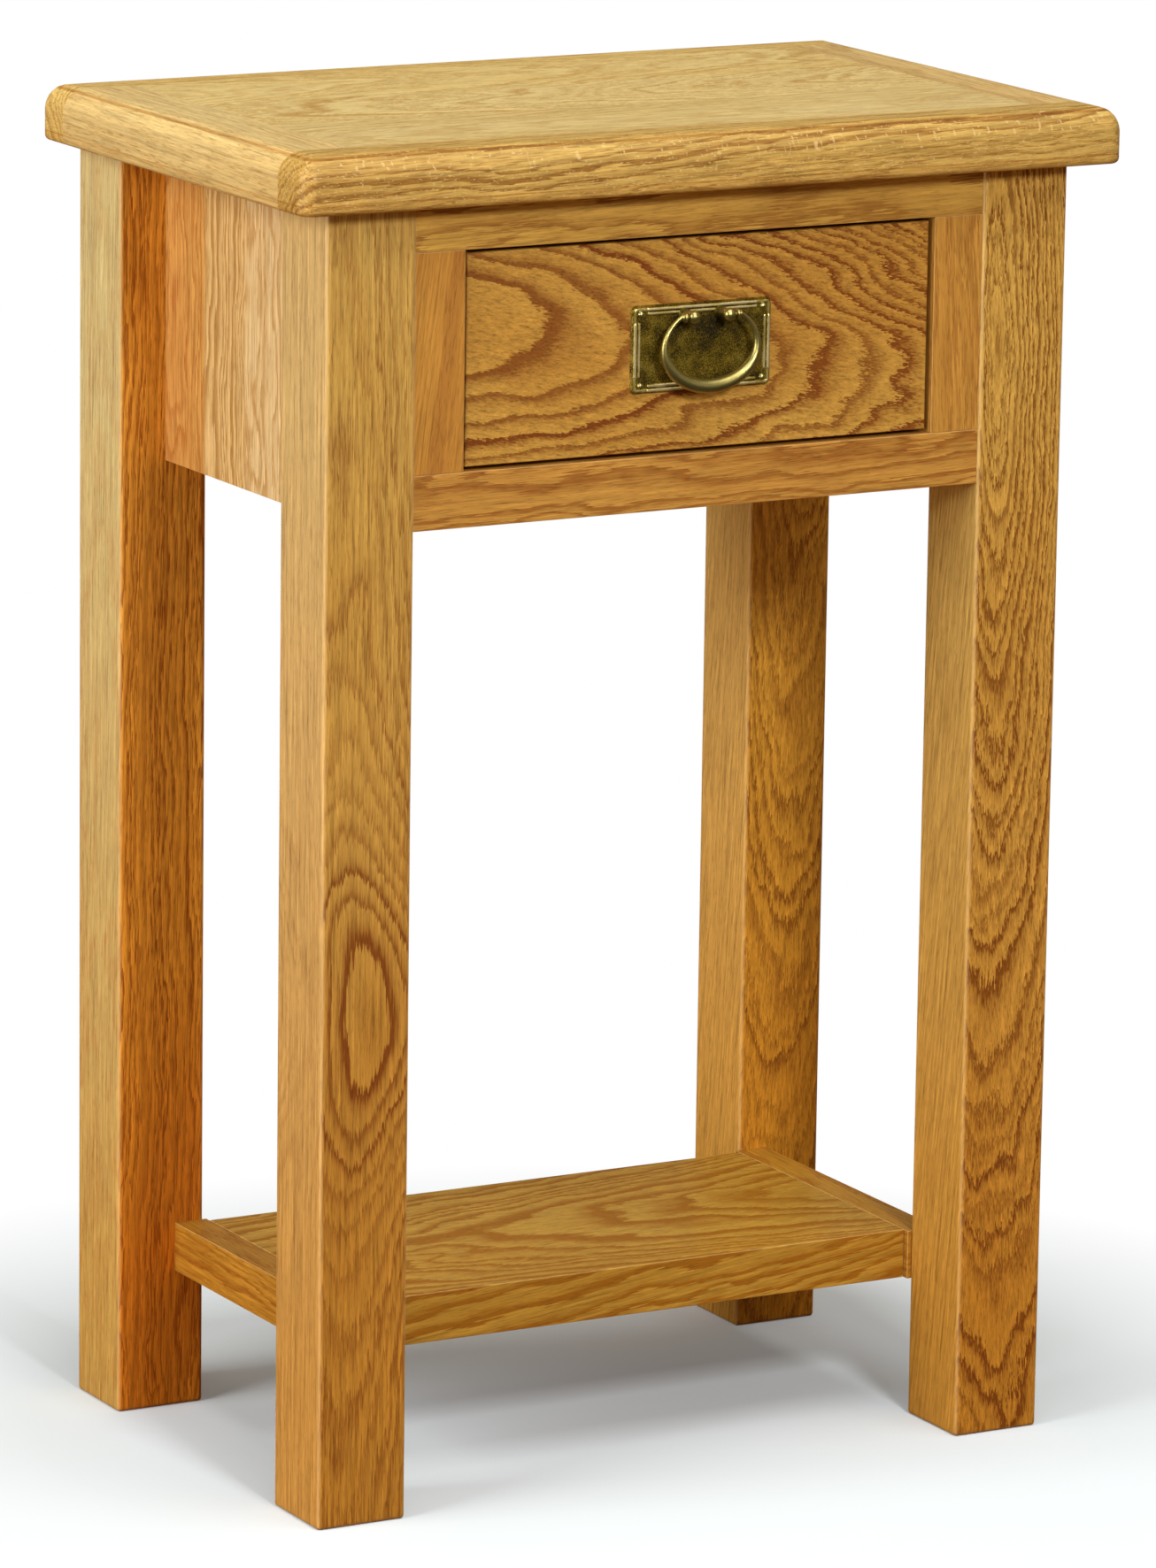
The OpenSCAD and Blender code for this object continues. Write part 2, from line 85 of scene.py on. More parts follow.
def oak(name, pith, along, light, dark, warm, ring=5.0, wave=9.0, rag=3.0, contrast=1.0, seed=0, fleck=0.0,
        ring_drift=0.7, roughness=0.45, bow=None, crowd=1.0, side=None, foot=None, marks=()):
    """Plain oak under clear satin lacquer, sawn from one log.

    The colour is worked out from where each point lay in the tree. pith is a point on the tree's
    heart and along is its direction, in mm in the table's frame, so R, the distance from that line,
    counts the growth rings. wave (mm) bends the rings slowly, rag (mm) frays them along the fibres.
    Each ring starts with a dark porous band that fades into dense pale wood, which gives arches on
    a face sawn across the log's side and straight lines on one sawn towards its heart. The rings are
    counted as (R / ring) ^ crowd, so they crowd together outwards, and ring_drift makes them uneven.
    A crooked tree's heart moves off by bow * q / (1 + q), where q is the square of the distance from
    pith over bow_length, and closes the arches into ovals; away from there the figure is fainter.
    side is the calmer colour of faces towards X, sawn along the rays, and fleck shows those rays. The
    side colour is also partly painted light: paler on the lit sides than on the shaded fronts.
    foot is what each of red, green and blue is multiplied by at the floor: painted shade, darker
    and redder towards the floor, where the light falls off. marks are thin level lines: height, half
    width (mm), how much of the colour is left on the line, and how much below it.
    """
    mat = bpy.data.materials.new("oak_" + name)
    mat.use_nodes = True
    tree = mat.node_tree
    shader = tree.nodes["Principled BSDF"]
    blend = dict(out=2, data_type="RGBA")
    darken = dict(out=2, data_type="RGBA", blend_type="MULTIPLY")

    # the tree's own frame: w runs up the trunk, u and v across it, all in mm
    w_axis = Vector(along).normalized()
    u_axis = w_axis.orthogonal().normalized()
    turn = Matrix((u_axis, w_axis.cross(u_axis), w_axis))
    spot = add(tree, "TexCoord", out="Object")
    place = add(tree, "Mapping", {"Vector": spot, "Scale": (1 / MM, 1 / MM, 1 / MM),
                                  "Rotation": turn.to_euler("XYZ"), "Location": -(turn @ Vector(pith))})

    def grain(size, length, detail=2.0, shift=0.0, rough=0.5, out="Fac"):
        """Noise with grains of size mm across the trunk and length mm along it."""
        where = add(tree, "Mapping", {"Vector": place, "Scale": (1 / size, 1 / size, 1 / length),
                                      "Location": (7.3 * seed + shift, 3.1 * seed - shift, 5.7 * seed)})
        return add(tree, "TexNoise", {"Vector": where, "Scale": 1.0, "Detail": detail, "Roughness": rough},
                   out=out)

    # slow bends of the trunk, about as long as the board, shorter ones that sway the rings, then the
    # crook, and last the frayed fibres
    bend = grain(60, 210, out="Color")
    bend = add(tree, "VectorMath", {0: bend, 1: (0.5, 0.5, 0.5)}, operation="SUBTRACT")
    bend = add(tree, "VectorMath", {0: bend, 1: (wave * 2.4, wave * 2.4, 0)}, operation="MULTIPLY")
    bent = add(tree, "VectorMath", {0: place, 1: bend}, operation="ADD")
    sway = add(tree, "Math", {0: grain(17, 42, 1.0, 19.0), 1: 0.5}, operation="SUBTRACT")
    if bow:
        bow_length = 95.0
        q = add(tree, "SeparateXYZ", {0: place}, out="Z")
        q = add(tree, "Math", {0: q, 1: 1 / bow_length}, operation="MULTIPLY")
        q = add(tree, "Math", {0: q, 1: q}, operation="MULTIPLY")
        one_more = add(tree, "Math", {0: q, 1: 1.0}, operation="ADD")
        pushed = add(tree, "Math", {0: q, 1: one_more}, operation="DIVIDE")
        off = add(tree, "VectorMath", {0: -(turn @ Vector(bow)), 3: pushed}, operation="SCALE")
        bent = add(tree, "VectorMath", {0: bent, 1: off}, operation="ADD")
    flat = add(tree, "VectorMath", {0: bent, 1: (1, 1, 0)}, operation="MULTIPLY")
    radius = add(tree, "VectorMath", {0: flat}, out="Value", operation="LENGTH")
    fibre = add(tree, "Math", {0: grain(1.0, 30, 2.0, 11.0, 0.65), 1: 0.5}, operation="SUBTRACT")
    radius = add(tree, "Math", {0: fibre, 1: rag * 2.2, 2: radius}, operation="MULTIPLY_ADD")
    radius = add(tree, "Math", {0: sway, 1: wave * 0.9, 2: radius}, operation="MULTIPLY_ADD")

    # rings of uneven width; each has its own depth of colour
    grown = add(tree, "Math", {0: radius, 1: 0.0}, operation="MAXIMUM")
    grown = add(tree, "Math", {0: grown, 1: 1 / ring}, operation="MULTIPLY")
    grown = add(tree, "Math", {0: grown, 1: crowd}, operation="POWER")
    years = add(tree, "Math", {0: grown, 1: 1 / 3.6, 2: 9.7 * seed}, operation="MULTIPLY_ADD")
    drift = add(tree, "TexNoise", {"W": years, "Scale": 1.0, "Detail": 1.0}, noise_dimensions="1D")
    count = add(tree, "Math", {0: drift, 1: ring_drift * 3.0, 2: grown}, operation="MULTIPLY_ADD")
    part = add(tree, "Math", {0: count}, operation="FRACT")
    year = add(tree, "Math", {0: count}, operation="FLOOR")
    year = add(tree, "Math", {0: year, 1: seed * 1.7}, operation="ADD")
    depth = add(tree, "TexWhiteNoise", {"W": year}, out="Value", noise_dimensions="1D")
    depth = add(tree, "Math", {0: depth, 1: 0.65, 2: 0.5}, operation="MULTIPLY_ADD")
    band = add(tree, "ValToRGB", {0: part}, stops=[(0.0, 0.1), (0.04, 1.0), (0.2, 0.95), (0.34, 0.5),
                                                   (0.6, 0.12), (0.96, 0.0), (1.0, 0.1)])
    band = add(tree, "Math", {0: band, 1: depth}, operation="MULTIPLY", use_clamp=True)
    if bow:
        fainter = add(tree, "Math", {0: pushed, 1: -0.5, 2: 1.0}, operation="MULTIPLY_ADD")
        band = add(tree, "Math", {0: band, 1: fainter}, operation="MULTIPLY")
    if side:
        facing = add(tree, "SeparateXYZ", {0: add(tree, "TexCoord", out="Normal")}, out="X")
        facing = add(tree, "Math", {0: facing}, operation="ABSOLUTE")
        facing = add(tree, "MapRange", {0: facing, 1: 0.5, 2: 0.9})
        calmer = add(tree, "Math", {0: facing, 1: -0.75, 2: 1.0}, operation="MULTIPLY_ADD")
        band = add(tree, "Math", {0: band, 1: calmer}, operation="MULTIPLY")

    # large patches, then streaks along the fibres, then the rings' bands, then the open pores
    patch = add(tree, "ValToRGB", {0: grain(75, 240, 2.0, 31.0)}, stops=[(0.36, 0.0), (0.66, 1.0)])
    patch = add(tree, "Math", {0: patch, 1: 0.5}, operation="MULTIPLY")
    colour = add(tree, "Mix", {0: patch, 6: rgb(light), 7: rgb(warm)}, **blend)
    # partly painted light: faces towards X take the paler side colour, as on the lit sides
    if side:
        colour = add(tree, "Mix", {0: facing, 6: colour, 7: rgb(side)}, **blend)
    streak = grain(1.6, 55, 4.0, 47.0, 0.7)
    shade = add(tree, "ValToRGB", {0: streak}, stops=[(0.3, 0.5), (0.45, 0.9), (0.56, 1.02), (0.7, 1.3)])
    colour = add(tree, "Mix", {0: 1.0, 6: colour, 7: shade}, **darken)
    banded = add(tree, "Math", {0: band, 1: contrast}, operation="MULTIPLY", use_clamp=True)
    colour = add(tree, "Mix", {0: banded, 6: colour, 7: rgb(dark)}, **blend)
    pore = add(tree, "ValToRGB", {0: grain(0.6, 8.0, 1.0, 71.0)}, stops=[(0.55, 0.0), (0.64, 1.0)])
    porous = add(tree, "Math", {0: band, 1: 0.65, 2: 0.35}, operation="MULTIPLY_ADD")
    pore = add(tree, "Math", {0: pore, 1: porous}, operation="MULTIPLY")
    pore_shade = add(tree, "Math", {0: pore, 1: 0.7}, operation="MULTIPLY")
    pore_colour = tuple(np.multiply(rgb(dark), (0.62, 0.55, 0.5, 1.0)))
    colour = add(tree, "Mix", {0: pore_shade, 6: colour, 7: pore_colour}, **blend)

    # pale rays run straight out from the heart, and show as short flecks on a face sawn towards it;
    # they are 5 mm deep, a ninetieth of a radian wide and 2.2 mm long
    if fleck:
        u, v, w = (add(tree, "SeparateXYZ", {0: bent}, out=axis) for axis in "XYZ")
        turned_by = add(tree, "Math", {0: v, 1: u}, operation="ARCTAN2")
        outward = add(tree, "CombineXYZ", {
            0: add(tree, "Math", {0: radius, 1: 1 / 5.0}, operation="MULTIPLY"),
            1: add(tree, "Math", {0: turned_by, 1: 90.0}, operation="MULTIPLY"),
            2: add(tree, "Math", {0: w, 1: 1 / 2.2}, operation="MULTIPLY")})
        ray = add(tree, "TexNoise", {"Vector": outward, "Scale": 1.0, "Detail": 1.0}, out="Fac")
        ray = add(tree, "ValToRGB", {0: ray}, stops=[(0.63, 0.0), (0.70, 1.0)])
        ray = add(tree, "Math", {0: ray, 1: fleck}, operation="MULTIPLY")
        colour = add(tree, "Mix", {0: ray, 6: colour, 7: rgb("#D8BC82")}, **blend)

    # painted shade darkens and reddens the colour from 600 mm above the floor down to 80 mm, where the
    # light falls off; then level lines round the board: a glue line with the layer below it, or a darker
    # amber line along a crest, amber because blue falls fastest
    height = add(tree, "SeparateXYZ", {0: spot}, out="Z")
    height = add(tree, "Math", {0: height, 1: 1 / MM}, operation="MULTIPLY")
    if foot:
        painted_floor_shade = add(tree, "MapRange", {0: height, 1: 600.0, 2: 80.0})
        colour = add(tree, "Mix", {0: painted_floor_shade, 6: colour, 7: (*foot, 1.0)}, **darken)
    for mark_z, half_wide, on_line, below in marks:
        past = add(tree, "Math", {0: height, 1: mark_z}, operation="SUBTRACT")
        past = add(tree, "Math", {0: past}, operation="ABSOLUTE")
        line = add(tree, "MapRange", {0: past, 1: half_wide * 0.4, 2: half_wide, 3: on_line, 4: 1.0})
        under = add(tree, "MapRange", {0: height, 1: mark_z - 0.2, 2: mark_z + 0.2, 3: below, 4: 1.0})
        kept = add(tree, "Math", {0: line, 1: under}, operation="MULTIPLY")
        red = add(tree, "Math", {0: kept, 1: 0.55}, operation="POWER")
        blue = add(tree, "Math", {0: kept, 1: 1.6}, operation="POWER")
        amber = add(tree, "CombineColor", {0: red, 1: kept, 2: blue})
        colour = add(tree, "Mix", {0: 1.0, 6: colour, 7: amber}, **darken)

    # edges are paler, partly rubbed back by sanding and partly a painted highlight along the arrises;
    # streaks and bands are a little rougher, pores are sunk
    wear_and_edge_highlight = add(tree, "Attribute", out="Fac", attribute_name="wear_and_edge_highlight")
    wear_and_edge_highlight = add(tree, "Math", {0: wear_and_edge_highlight, 1: 0.4}, operation="MULTIPLY")
    colour = add(tree, "Mix", {0: wear_and_edge_highlight, 6: colour, 7: rgb("#DDBB80")}, **blend)
    rough = add(tree, "Math", {0: streak, 1: 0.16, 2: roughness - 0.08}, operation="MULTIPLY_ADD")
    rough = add(tree, "Math", {0: band, 1: 0.10, 2: rough}, operation="MULTIPLY_ADD")
    relief = add(tree, "Math", {0: streak, 1: 0.3}, operation="MULTIPLY")
    relief = add(tree, "Math", {0: band, 1: -0.25, 2: relief}, operation="MULTIPLY_ADD")
    relief = add(tree, "Math", {0: pore, 1: -1.0, 2: relief}, operation="MULTIPLY_ADD")
    relief = add(tree, "Bump", {"Height": relief, "Strength": 0.35, "Distance": 0.25 * MM})
    tree.links.new(colour, shader.inputs["Base Color"])
    tree.links.new(rough, shader.inputs["Roughness"])
    tree.links.new(relief, shader.inputs["Normal"])
    shader.inputs["Specular IOR Level"].default_value = 0.25
    shader.inputs["Coat Weight"].default_value = 0.04
    shader.inputs["Coat Roughness"].default_value = 0.25
    return mat


def box_skin(xs, ys, zs):
    """The skin of a box on grid lines xs, ys and zs: six sheets, each a grid of two of them, whose
    shared edge points are merged. Returns points (n, 3) and outward quads (m, 4)."""
    ends = [np.array([a[0], a[-1]]) for a in (xs, ys, zs)]
    points, quads, start = [], [], 0
    for axis in range(3):
        u, v = [(ys, zs), (zs, xs), (xs, ys)][axis]
        for end in (0, 1):
            a, b = np.meshgrid(u, v, indexing="ij")
            sheet = np.empty((a.size, 3))
            sheet[:, axis] = ends[axis][end]
            sheet[:, (axis + 1) % 3] = a.ravel()
            sheet[:, (axis + 2) % 3] = b.ravel()
            i, j = np.meshgrid(np.arange(len(u) - 1), np.arange(len(v) - 1), indexing="ij")
            k = (i * len(v) + j).ravel() + start
            ring = np.stack([k, k + len(v), k + len(v) + 1, k + 1], axis=1)
            quads.append(ring if end else ring[:, ::-1])
            points.append(sheet)
            start += len(sheet)
    points, quads = np.concatenate(points), np.concatenate(quads)
    points, where = np.unique(np.round(points, 4), axis=0, return_inverse=True)
    return points, where.ravel()[quads]


def make_piece(name, points, faces, material, wear_and_edge_highlight=None):
    """Puts points (mm) and faces into a new mesh object at the origin, and gives it one material."""
    mesh = bpy.data.meshes.new(name)
    mesh.from_pydata((points * MM).tolist(), [], [list(map(int, face)) for face in faces])
    mesh.materials.append(material)
    mesh.polygons.foreach_set("use_smooth", np.full(len(mesh.polygons), True))
    mesh.set_sharp_from_angle(angle=math.radians(35))
    # wear_and_edge_highlight: paler arrises, sanding wear and a painted highlight along the edge
    if wear_and_edge_highlight is not None:
        mesh.attributes.new("wear_and_edge_highlight", "FLOAT", "POINT").data.foreach_set("value", wear_and_edge_highlight)
    piece = bpy.data.objects.new(name, mesh)
    bpy.context.scene.collection.objects.link(piece)
    return piece


def node_box(node):
    """The CAD piece's lowest and highest corners, in mm."""
    low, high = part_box(node)
    return np.array(low) / MM, np.array(high) / MM


def stands_for(piece, node, body="root"):
    """The piece is shown in place of the CAD piece, moves with its body, and keeps its finish."""
    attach(piece, body)
    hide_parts(node)


top_low, top_high = node_box("top_lipping_front")[0], node_box("top_lipping_back")[1]
top_thick = top_high[2] - top_low[2]
corner_r, over_r, under_r = 9.0, 14.0, 3.0
rim = 16.0


def round_over(points):
    """Rounds the whole top. A point in the rim has an inset from the square outline and a height above
    the start of the round-over; (e, h), its place past both, keeps its larger part as its new length,
    which puts the square edge on a quarter circle. The same is done with the small radius below. Then
    each level outline gets its corners rounded, by corner_r less the inset."""
    half = top_high[:2] - rim
    past = np.maximum(np.abs(points[:, :2]) - half, 0)
    reach = past.max(axis=1)
    inset = rim - reach
    z = points[:, 2].copy()
    for r, arris, up in ((over_r, top_high[2], 1), (under_r, top_low[2], -1)):
        e = np.maximum(r - inset, 0)
        h = np.maximum(up * (z - arris) + r, 0)
        on = (e > 0) & (h > 0)
        size, span = np.maximum(e, h), np.maximum(np.hypot(e, h), 1e-9)
        inset = np.where(on, r - e * size / span, inset)
        z = np.where(on, arris + up * (h * size / span - r), z)
    wide = rim - inset
    plan = past * (wide / np.maximum(reach, 1e-9))[:, None]
    turn_r = np.maximum(corner_r - inset, 0.5)
    square = np.minimum(plan, (wide - turn_r)[:, None])
    over = plan - square
    over = over * (over.max(axis=1) / np.maximum(np.hypot(*over.T), 1e-9))[:, None]
    core = np.clip(points[:, :2], -half, half)
    plan = core + np.sign(points[:, :2]) * (square + over)
    return np.column_stack([np.where(reach[:, None] > 0, plan, points[:, :2]), z])


def top_lines(low, high, axis):
    """Grid lines of one board of the top: fine in the rounded rim, wide in the flat field."""
    if axis == 2:
        below, above = under_r * np.linspace(0, 1, 6), top_thick - over_r * np.linspace(1, 0, 15)
        return top_low[2] + np.concatenate([below, np.linspace(7, 14, 3), above])
    near = np.append(np.linspace(0, over_r, 15), [over_r + 0.6, over_r + 1.3, rim, rim + 1])
    marks = np.concatenate([top_low[axis] + near, top_high[axis] - near, np.linspace(low, high, 9)])
    return np.unique(np.round(marks[(marks >= low) & (marks <= high)], 4))


def top_board(node, material):
    """One board of the top, cut from the rounded slab at its glue lines."""
    low, high = node_box(node)
    spans = [top_lines(low[i], high[i], i) for i in range(3)]
    points, quads = box_skin(*spans)
    stands_for(make_piece(node + "_wood", round_over(points), quads, material), node)


# the colours of the top's boards: pale straw planks and lippings, a little warmer to the right;
# a glue line runs round the edge near the bottom, and a darker amber line runs along the crest
glue_line_z, crest_z = top_low[2] + 5.6, top_high[2] - 1.8
rim_marks = ((glue_line_z, 0.6, 0.7, 0.88), (crest_z, 0.8, 0.58, 1.0))
top_boards = {
    "top_plank_front": dict(pith=(0, -95, 672), along=(1, 0.02, 0.05), light="#D3BA7D", dark="#B08C4B",
                            warm="#C8AA64", ring=3.5, contrast=0.95, seed=1),
    "top_plank_middle": dict(pith=(0, 6, 690), along=(1, 0.02, 0.16), light="#DAC180", dark="#B28B48",
                             warm="#D3B36D", ring=3.5, contrast=1.1, seed=2),
    "top_plank_back": dict(pith=(0, 95, 660), along=(1, 0.03, -0.1), light="#DBC07C", dark="#B58D48",
                           warm="#D0AD5F", ring=3.5, contrast=0.95, seed=3),
    "top_lipping_front": dict(pith=(0, -190, 690), along=(1, 0.03, 0.03), light="#C29F53", dark="#8F6424",
                              warm="#B48A41", ring=4, seed=4, fleck=0.5, marks=rim_marks),
    "top_lipping_back": dict(pith=(0, 200, 700), along=(1, 0.0, 0.05), light="#D6B66A", dark="#A57B3A",
                             warm="#C9A255", ring=5, seed=5, marks=rim_marks),
    "top_lipping_left": dict(pith=(-310, 0, 745), along=(0.0, 1, 0.02), light="#D2B779", dark="#B28A4B",
                             warm="#CBA663", ring=4, contrast=0.45, seed=6, marks=rim_marks),
    "top_lipping_right": dict(pith=(240, 0, 665), along=(0.03, 1, 0.0), light="#CFAE6E", dark="#AC8448",
                              warm="#C8A262", ring=5, contrast=0.6, seed=7, marks=rim_marks),
}
for node, look in top_boards.items():
    top_board(node, oak(node, **look))


# ---------------------------------------------------------------------------------------------
# Four legs of solid oak, planed square with their arrises just taken off. The front faces are
# sawn across the rings and show arches; the sides are straight grained, and paler, partly as painted
# light on the lit sides. Painted shade darkens the colour towards the floor.
# ---------------------------------------------------------------------------------------------

def lines(low, high, ease, step):
    """Grid lines from low to high: close together in the ease at each end, step apart between.
    In the ease they lie at 1 - cos of equal angles, so that they stay even round the curve,
    and one more line just past it keeps the flat face flat where it meets the curve."""
    near = np.append(ease * (1 - np.cos(np.linspace(0, math.pi / 2, 5))), ease * 1.3)
    n = max(2, int(round((high - low - 3 * ease) / step)) + 1)
    inner = np.linspace(low + 1.5 * ease, high - 1.5 * ease, n)
    return np.unique(np.round(np.concatenate([low + near, inner, high - near]), 4))


def eased_board(name, low, high, material, ease):
    """A board with eased arrises. A point's reach q past the inner box, which is smaller than the
    board by the ease all round, keeps its largest part max(q) as its new length |q|, so square edges
    turn into quarter circles and corners into eighths of a ball. How pale a point is painted grows
    with the second largest part of q, which is zero everywhere but near an arris: sanding wear, and
    a painted highlight along the edge."""
    points, quads = box_skin(*[lines(low[i], high[i], ease, step=30.0) for i in range(3)])
    middle, core = (low + high) / 2, (high - low) / 2 - ease
    side = np.sign(points - middle)
    reach = np.maximum(np.abs(points - middle) - core, 0)
    size = np.linalg.norm(reach, axis=1)
    scale = np.where(size > 0, reach.max(axis=1) / np.maximum(size, 1e-9), 0)
    inner = middle + side * np.minimum(np.abs(points - middle), core)
    return make_piece(name, inner + side * reach * scale[:, None], quads, material,
                      wear_and_edge_highlight=np.sort(reach, axis=1)[:, 1] / ease)


# the side colours are partly painted light, paler on the lit sides than on the shaded fronts; the back left
# leg's saturated orange front is partly painted shade, for the deep warm shade on that face
legs = {
    "leg_front_left": dict(pith=(-199, -129, 284), along=(0.0, 0.0, 1), light="#C49F50", dark="#804A11",
                           warm="#B58533", ring=14, crowd=1.6, wave=5, bow=(-22, 48, 0), ring_drift=0.3,
                           contrast=1.1, seed=11, side="#CAA96C"),
    "leg_front_right": dict(pith=(191, -109, 360), along=(-0.02, -0.12, 1), light="#CEA44E", dark="#804D10",
                            warm="#BB8A35", ring=2.9, wave=6, rag=2, contrast=1.1, seed=12, side="#D4B161"),
    "leg_back_left": dict(pith=(-150, 128, 360), along=(0.02, -0.02, 1), light="#FEBC48", dark="#B0681A",
                          warm="#D77E22", ring=4, seed=13, side="#CAB77D"),
    "leg_back_right": dict(pith=(201, 150, 360), along=(0.02, -0.1, 1), light="#DEAC42", dark="#88520E",
                           warm="#BD852B", ring=2.8, wave=6, rag=2, contrast=0.85, seed=14, side="#E5BF6F"),
}
for node, look in legs.items():
    low, high = node_box(node)
    # painted shade: foot darkens and reddens each leg towards the floor, where the light falls off
    timber = oak(node, foot=(0.97, 0.72, 0.4), **look)
    stands_for(eased_board(node + "_wood", low, high, timber, ease=2.2), node)


# ---------------------------------------------------------------------------------------------
# The front frame: two rails between the legs and two stiles between the rails, glued up and set
# a hair behind the legs. The rails' tenons are hidden in the legs.
# ---------------------------------------------------------------------------------------------

leg_left, leg_right = node_box("leg_front_left"), node_box("leg_front_right")
leg_behind = node_box("leg_back_left")
case_low = np.array([leg_left[1][0], leg_left[1][1], 0])
case_high = np.array([leg_right[0][0], leg_behind[0][1], 0])

front_frame = {
    "rail_over_drawer": dict(pith=(0, -80, 690), along=(1, 0.02, 0.03), light="#C79C46", dark="#946321",
                             warm="#B98736", ring=4, rag=2, contrast=1.5, seed=21),
    "rail_under_drawer": dict(pith=(0, -90, 575), along=(1, -0.02, 0.02), light="#C09041", dark="#976122",
                              warm="#B67E36", ring=4, rag=2, contrast=1.5, seed=22),
    "stile_left": dict(pith=(-190, -139, 630), along=(0.12, 0.0, 1), light="#BC8839", dark="#A16A27",
                       warm="#B6762D", ring=30, wave=2, seed=23, contrast=0.9, ring_drift=0.0),
    "stile_right": dict(pith=(190, -70, 630), along=(-0.05, 0.02, 1), light="#C0903F", dark="#A36E2A",
                        warm="#B97C30", ring=4, seed=24, contrast=1.1),
}
for node, look in front_frame.items():
    low, high = node_box(node)
    low[0], high[0] = max(low[0], case_low[0]), min(high[0], case_high[0])
    stands_for(eased_board(node + "_wood", low, high, oak(node, **look), ease=0.5), node)


# ---------------------------------------------------------------------------------------------
# The side panels: four upright staves each, edge glued, tongued into the legs. The maker did not
# match their colours. One panel closes the back.
# ---------------------------------------------------------------------------------------------

stave_tones = {
    "front": dict(light="#DABD88", dark="#BC9456", warm="#D1AE75"),
    "mid_front": dict(light="#DDBF8A", dark="#BD9459", warm="#D7B781"),
    "mid_back": dict(light="#DCB779", dark="#AE8244", warm="#D5AE71"),
    "back": dict(light="#D09D52", dark="#AE6E2E", warm="#C48542"),
}
for side_no, side in enumerate(("left", "right")):
    for place_no, (place, tones) in enumerate(stave_tones.items()):
        node = f"side_stave_{side}_{place}"
        low, high = node_box(node)
        low[1], high[1] = max(low[1], case_low[1]), min(high[1], case_high[1])
        heart = (low + high) / 2 + np.array([60 if side_no else -60, 45 - 30 * (place_no % 2), 0])
        timber = oak(node, pith=tuple(heart), along=(0.02, 0.01 * (place_no - 1.5), 1), ring=3.0, rag=1.5,
                     contrast=1.4, seed=31 + place_no + 4 * side_no, **tones)
        stands_for(eased_board(node + "_wood", low, high, timber, ease=0.2), node)

low, high = node_box("back_panel")
low[0], high[0] = case_low[0], case_high[0]
timber = oak("back_panel", pith=(0, 90, 640), along=(1, 0.05, 0.03), light="#C1914C", dark="#965F26",
             warm="#B27C38", seed=40)
stands_for(eased_board("back_panel_wood", low, high, timber, ease=0.3), "back_panel")


# ---------------------------------------------------------------------------------------------
# The shelf: a board with arched grain, tongued into a rail at each end that runs from leg to leg.
# The rails are straight grained, a little darker, and flush with the board.
# ---------------------------------------------------------------------------------------------

rail_left, rail_right = node_box("shelf_rail_left"), node_box("shelf_rail_right")
low, high = node_box("shelf_board")
low[0], high[0] = rail_left[1][0], rail_right[0][0]
timber = oak("shelf_board", pith=(60, 5, 20), along=(1, 0.0, 0.12), light="#C3973B", dark="#9F6612",
             warm="#B48227", ring=6, rag=2, contrast=1.8, seed=51)
stands_for(eased_board("shelf_board_wood", low, high, timber, ease=0.6), "shelf_board")
for node, seed in (("shelf_rail_left", 52), ("shelf_rail_right", 53)):
    low, high = node_box(node)
    low[1], high[1] = case_low[1], case_high[1]
    timber = oak(node, pith=tuple((low + high) / 2 + np.array([0, 0, -70])), along=(0.02, 1, 0.02),
                 light="#BD882D", dark="#9E5F11", warm="#B1741E", seed=seed)
    stands_for(eased_board(node + "_wood", low, high, timber, ease=0.6), node)


# ---------------------------------------------------------------------------------------------
# The drawer front: one slab of boldly figured oak. Its face is the CAD piece's, with the sockets
# for the dovetails, and its front edge is taken off all round.
# ---------------------------------------------------------------------------------------------

def eased_copy(node, material, ease):
    """A copy of a CAD piece: its points merged, and the edges of its front face given a bevel of
    width ease. Its faces stay flat shaded, because the large ones have the joints' many corners."""
    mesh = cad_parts[node].data.copy()
    low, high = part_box(node)
    piece = bpy.data.objects.new(node + "_wood", mesh)
    bpy.context.scene.collection.objects.link(piece)
    piece_edit = bmesh.new()
    piece_edit.from_mesh(mesh)
    bmesh.ops.remove_doubles(piece_edit, verts=piece_edit.verts, dist=1e-6)
    bmesh.ops.dissolve_limit(piece_edit, angle_limit=math.radians(1), verts=piece_edit.verts,
                             edges=piece_edit.edges)
    weight = piece_edit.edges.layers.float.new("bevel_weight_edge")
    for edge in piece_edit.edges:
        ends = [v.co for v in edge.verts]
        front = all(abs(c.y - low[1]) < 1e-5 for c in ends)
        outer = any(all(abs(c[i] - side[i]) < 1e-5 for c in ends) for i in (0, 2) for side in (low, high))
        edge[weight] = 1.0 if front and outer else 0.0
    piece_edit.to_mesh(mesh)
    piece_edit.free()
    bevel = piece.modifiers.new("eased front", "BEVEL")
    bevel.limit_method, bevel.width, bevel.segments = "WEIGHT", ease * MM, 4
    mesh.materials.clear()
    mesh.materials.append(material)
    mesh.polygons.foreach_set("use_smooth", np.full(len(mesh.polygons), False))
    return piece


timber = oak("drawer_front", pith=(-142, -111, 652), along=(1, 0.25, -0.17), light="#C19441", dark="#773C06",
             warm="#AD7628", ring=37, crowd=2.35, wave=9, rag=2.2, contrast=1.25, seed=63, ring_drift=0.2)
stands_for(eased_copy("drawer_front", timber, 1.2), "drawer_front", "drawer")


# ---------------------------------------------------------------------------------------------
# The drawer box and the parts inside the case are plain, pale oak, planed and left unpolished.
# Their CAD shapes stay, dovetails and grooves included.
# ---------------------------------------------------------------------------------------------

def finish_node(node, material):
    """Gives a CAD piece that stays its material."""
    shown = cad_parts[node]
    for slot in shown.material_slots:
        slot.material = material


